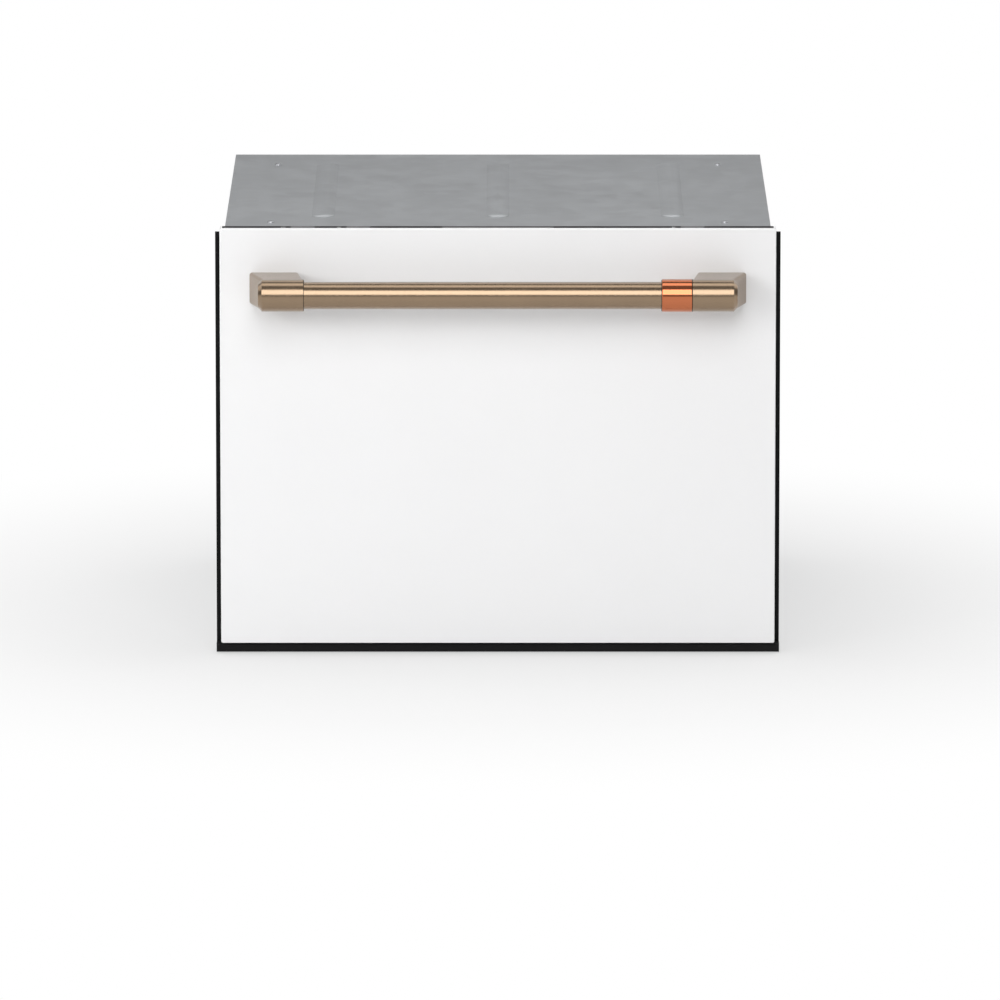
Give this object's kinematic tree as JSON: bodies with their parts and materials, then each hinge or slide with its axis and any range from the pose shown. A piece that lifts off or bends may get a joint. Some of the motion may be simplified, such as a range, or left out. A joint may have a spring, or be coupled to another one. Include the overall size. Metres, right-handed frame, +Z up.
{
  "type": "single drawer dishwasher",
  "caption": "Built-in dishwasher with one pull-out washing drawer behind a flat white front, a round bronze bar handle with a copper band, and black edge trims.",
  "frame": {"origin": "centre of the overall box at the surface that the machine stands on", "axes": "+X to the machine's right seen from the front, +Y from the drawer front to the back, +Z up"},
  "size_m": [0.6096, 0.6376, 0.467],
  "materials": {
    "white_paint": "satin white enamel on steel",
    "bronze": "brushed bronze",
    "copper": "polished copper",
    "black_rubber": "soft black rubber",
    "black_plastic": "fine-grained black plastic",
    "grey_plastic": "moulded grey plastic",
    "blue_plastic": "moulded blue plastic",
    "service_plastic": "white nylon",
    "button_plastic": "glossy grey plastic",
    "display_glass": "dark smoked window",
    "zinc_steel": "zinc-coated sheet",
    "runner_steel": "bright zinc",
    "stainless": "stainless steel",
    "iron": "laminated iron",
    "coated_wire": "nylon-coated steel wire"
  },
  "bodies": {
    "chassis": {"base_tray": "zinc_steel", "left_side_panel": "zinc_steel", "right_side_panel": "zinc_steel", "top_panel": "zinc_steel", "back_panel": "zinc_steel", "rest_pads": "black_rubber", "edge_trims": "black_rubber", "lower_trim": "black_plastic", "inlet_valve": "service_plastic", "drain_outlet": "service_plastic", "power_gland": "service_plastic", "outer_runners": "runner_steel", "lid_guide_pins": "runner_steel", "lid_actuators": "black_plastic"},
    "drawer": {"front_skin": "white_paint", "front_frame": "grey_plastic", "front_back_cover": "zinc_steel", "handle_posts": "bronze", "handle_bar": "bronze", "handle_band": "copper", "handle_screws": "runner_steel", "control_strip": "black_plastic", "display_window": "display_glass", "control_module": "black_plastic", "dispenser_housing": "grey_plastic", "tub": "grey_plastic", "tub_gasket": "black_rubber", "inner_runners": "runner_steel", "sump": "grey_plastic", "shaft_seal": "black_rubber", "motor_housing": "grey_plastic", "stator": "iron", "heater_ring": "stainless", "filter_plate": "stainless", "rack_floor": "coated_wire", "rack_sides": "coated_wire", "rack_ends": "coated_wire", "fixed_tines": "coated_wire", "tine_clips": "grey_plastic", "cutlery_basket": "grey_plastic"},
    "lid": {"lid_panel": "grey_plastic", "lid_racks": "black_plastic"},
    "slide_middle": {"middle_runners": "runner_steel"},
    "outer_cages": {"outer_ball_cages": "runner_steel"},
    "inner_cages": {"inner_ball_cages": "runner_steel"},
    "wash_rotor": {"rotor": "iron"},
    "left_pinion": {"left_pinion": "black_plastic"},
    "right_pinion": {"right_pinion": "black_plastic"},
    "spray_arm": {"spray_arm": "grey_plastic"},
    "drain_filter": {"drain_filter": "grey_plastic"},
    "dispenser_door": {"dispenser_door": "grey_plastic"},
    "rinse_cap": {"rinse_cap": "blue_plastic"},
    "power_button": {"power_button": "button_plastic"},
    "cycle_button": {"cycle_button": "button_plastic"},
    "start_button": {"start_button": "button_plastic"},
    "left_fold_tines": {"left_fold_tines": "coated_wire"},
    "right_fold_tines": {"right_fold_tines": "coated_wire"},
    "left_cup_rack": {"left_cup_rack": "grey_plastic"},
    "right_cup_rack": {"right_cup_rack": "grey_plastic"}
  },
  "joints": [
    {"name": "drawer_slide", "type": "slide", "parent": "chassis", "child": "drawer", "axis": [0, -1, 0], "range_m": [0, 0.5]},
    {"name": "slide_middle_run", "type": "slide", "parent": "chassis", "child": "slide_middle", "axis": [0, -1, 0], "range_m": [0, 0.25]},
    {"name": "outer_cage_run", "type": "slide", "parent": "chassis", "child": "outer_cages", "axis": [0, -1, 0], "range_m": [0, 0.125]},
    {"name": "inner_cage_run", "type": "slide", "parent": "chassis", "child": "inner_cages", "axis": [0, -1, 0], "range_m": [0, 0.375]},
    {"name": "lid_drop", "type": "slide", "parent": "chassis", "child": "lid", "axis": [0, 0, -1], "range_m": [0, 0.01]},
    {"name": "right_pinion_turn", "type": "hinge", "parent": "chassis", "child": "right_pinion", "pos_m": [0.2, 0.2778, 0.397], "axis": [0, 1, 0], "range_deg": [0, 63.67]},
    {"name": "left_pinion_turn", "type": "hinge", "parent": "chassis", "child": "left_pinion", "pos_m": [-0.2, 0.2778, 0.397], "axis": [0, -1, 0], "range_deg": [0, 63.67]},
    {"name": "spray_arm_spin", "type": "hinge", "parent": "drawer", "child": "spray_arm", "pos_m": [0, 0.0318, 0.115], "axis": [0, 0, 1], "continuous": true},
    {"name": "wash_motor_spin", "type": "hinge", "parent": "drawer", "child": "wash_rotor", "pos_m": [0, 0.0318, 0.0615], "axis": [0, 0, 1], "continuous": true},
    {"name": "drain_filter_twist", "type": "hinge", "parent": "drawer", "child": "drain_filter", "pos_m": [0.072, 0.0318, 0.103], "axis": [0, 0, 1], "range_deg": [0, 45]},
    {"name": "dispenser_door_drop", "type": "hinge", "parent": "drawer", "child": "dispenser_door", "pos_m": [-0.034, -0.1918, 0.296], "axis": [-1, 0, 0], "range_deg": [0, 100]},
    {"name": "rinse_cap_twist", "type": "hinge", "parent": "drawer", "child": "rinse_cap", "pos_m": [0.046, -0.1962, 0.33], "axis": [0, 1, 0], "range_deg": [0, 90]},
    {"name": "right_tines_fold", "type": "hinge", "parent": "drawer", "child": "right_fold_tines", "pos_m": [0.10191, 0.0318, 0.1396], "axis": [0, -1, 0], "range_deg": [0, 80]},
    {"name": "left_tines_fold", "type": "hinge", "parent": "drawer", "child": "left_fold_tines", "pos_m": [-0.10191, 0.0318, 0.1396], "axis": [0, 1, 0], "range_deg": [0, 80]},
    {"name": "right_cup_rack_lift", "type": "hinge", "parent": "drawer", "child": "right_cup_rack", "pos_m": [0.2618, 0.0318, 0.2595], "axis": [0, 1, 0], "range_deg": [0, 85]},
    {"name": "left_cup_rack_lift", "type": "hinge", "parent": "drawer", "child": "left_cup_rack", "pos_m": [-0.2618, 0.0318, 0.2595], "axis": [0, -1, 0], "range_deg": [0, 85]},
    {"name": "power_button_press", "type": "slide", "parent": "drawer", "child": "power_button", "axis": [0, 0, -1], "range_m": [0, 0.001], "stiffness_N_per_m": 400},
    {"name": "cycle_button_press", "type": "slide", "parent": "drawer", "child": "cycle_button", "axis": [0, 0, -1], "range_m": [0, 0.001], "stiffness_N_per_m": 400},
    {"name": "start_button_press", "type": "slide", "parent": "drawer", "child": "start_button", "axis": [0, 0, -1], "range_m": [0, 0.001], "stiffness_N_per_m": 400}
  ],
  "couplings": [
    {"joint": "slide_middle_run", "follows": "drawer_slide", "ratio": 0.5},
    {"joint": "outer_cage_run", "follows": "drawer_slide", "ratio": 0.25},
    {"joint": "inner_cage_run", "follows": "drawer_slide", "ratio": 0.75},
    {"joint": "right_pinion_turn", "follows": "lid_drop", "rad_per_m": 111.11},
    {"joint": "left_pinion_turn", "follows": "lid_drop", "rad_per_m": 111.11}
  ]
}
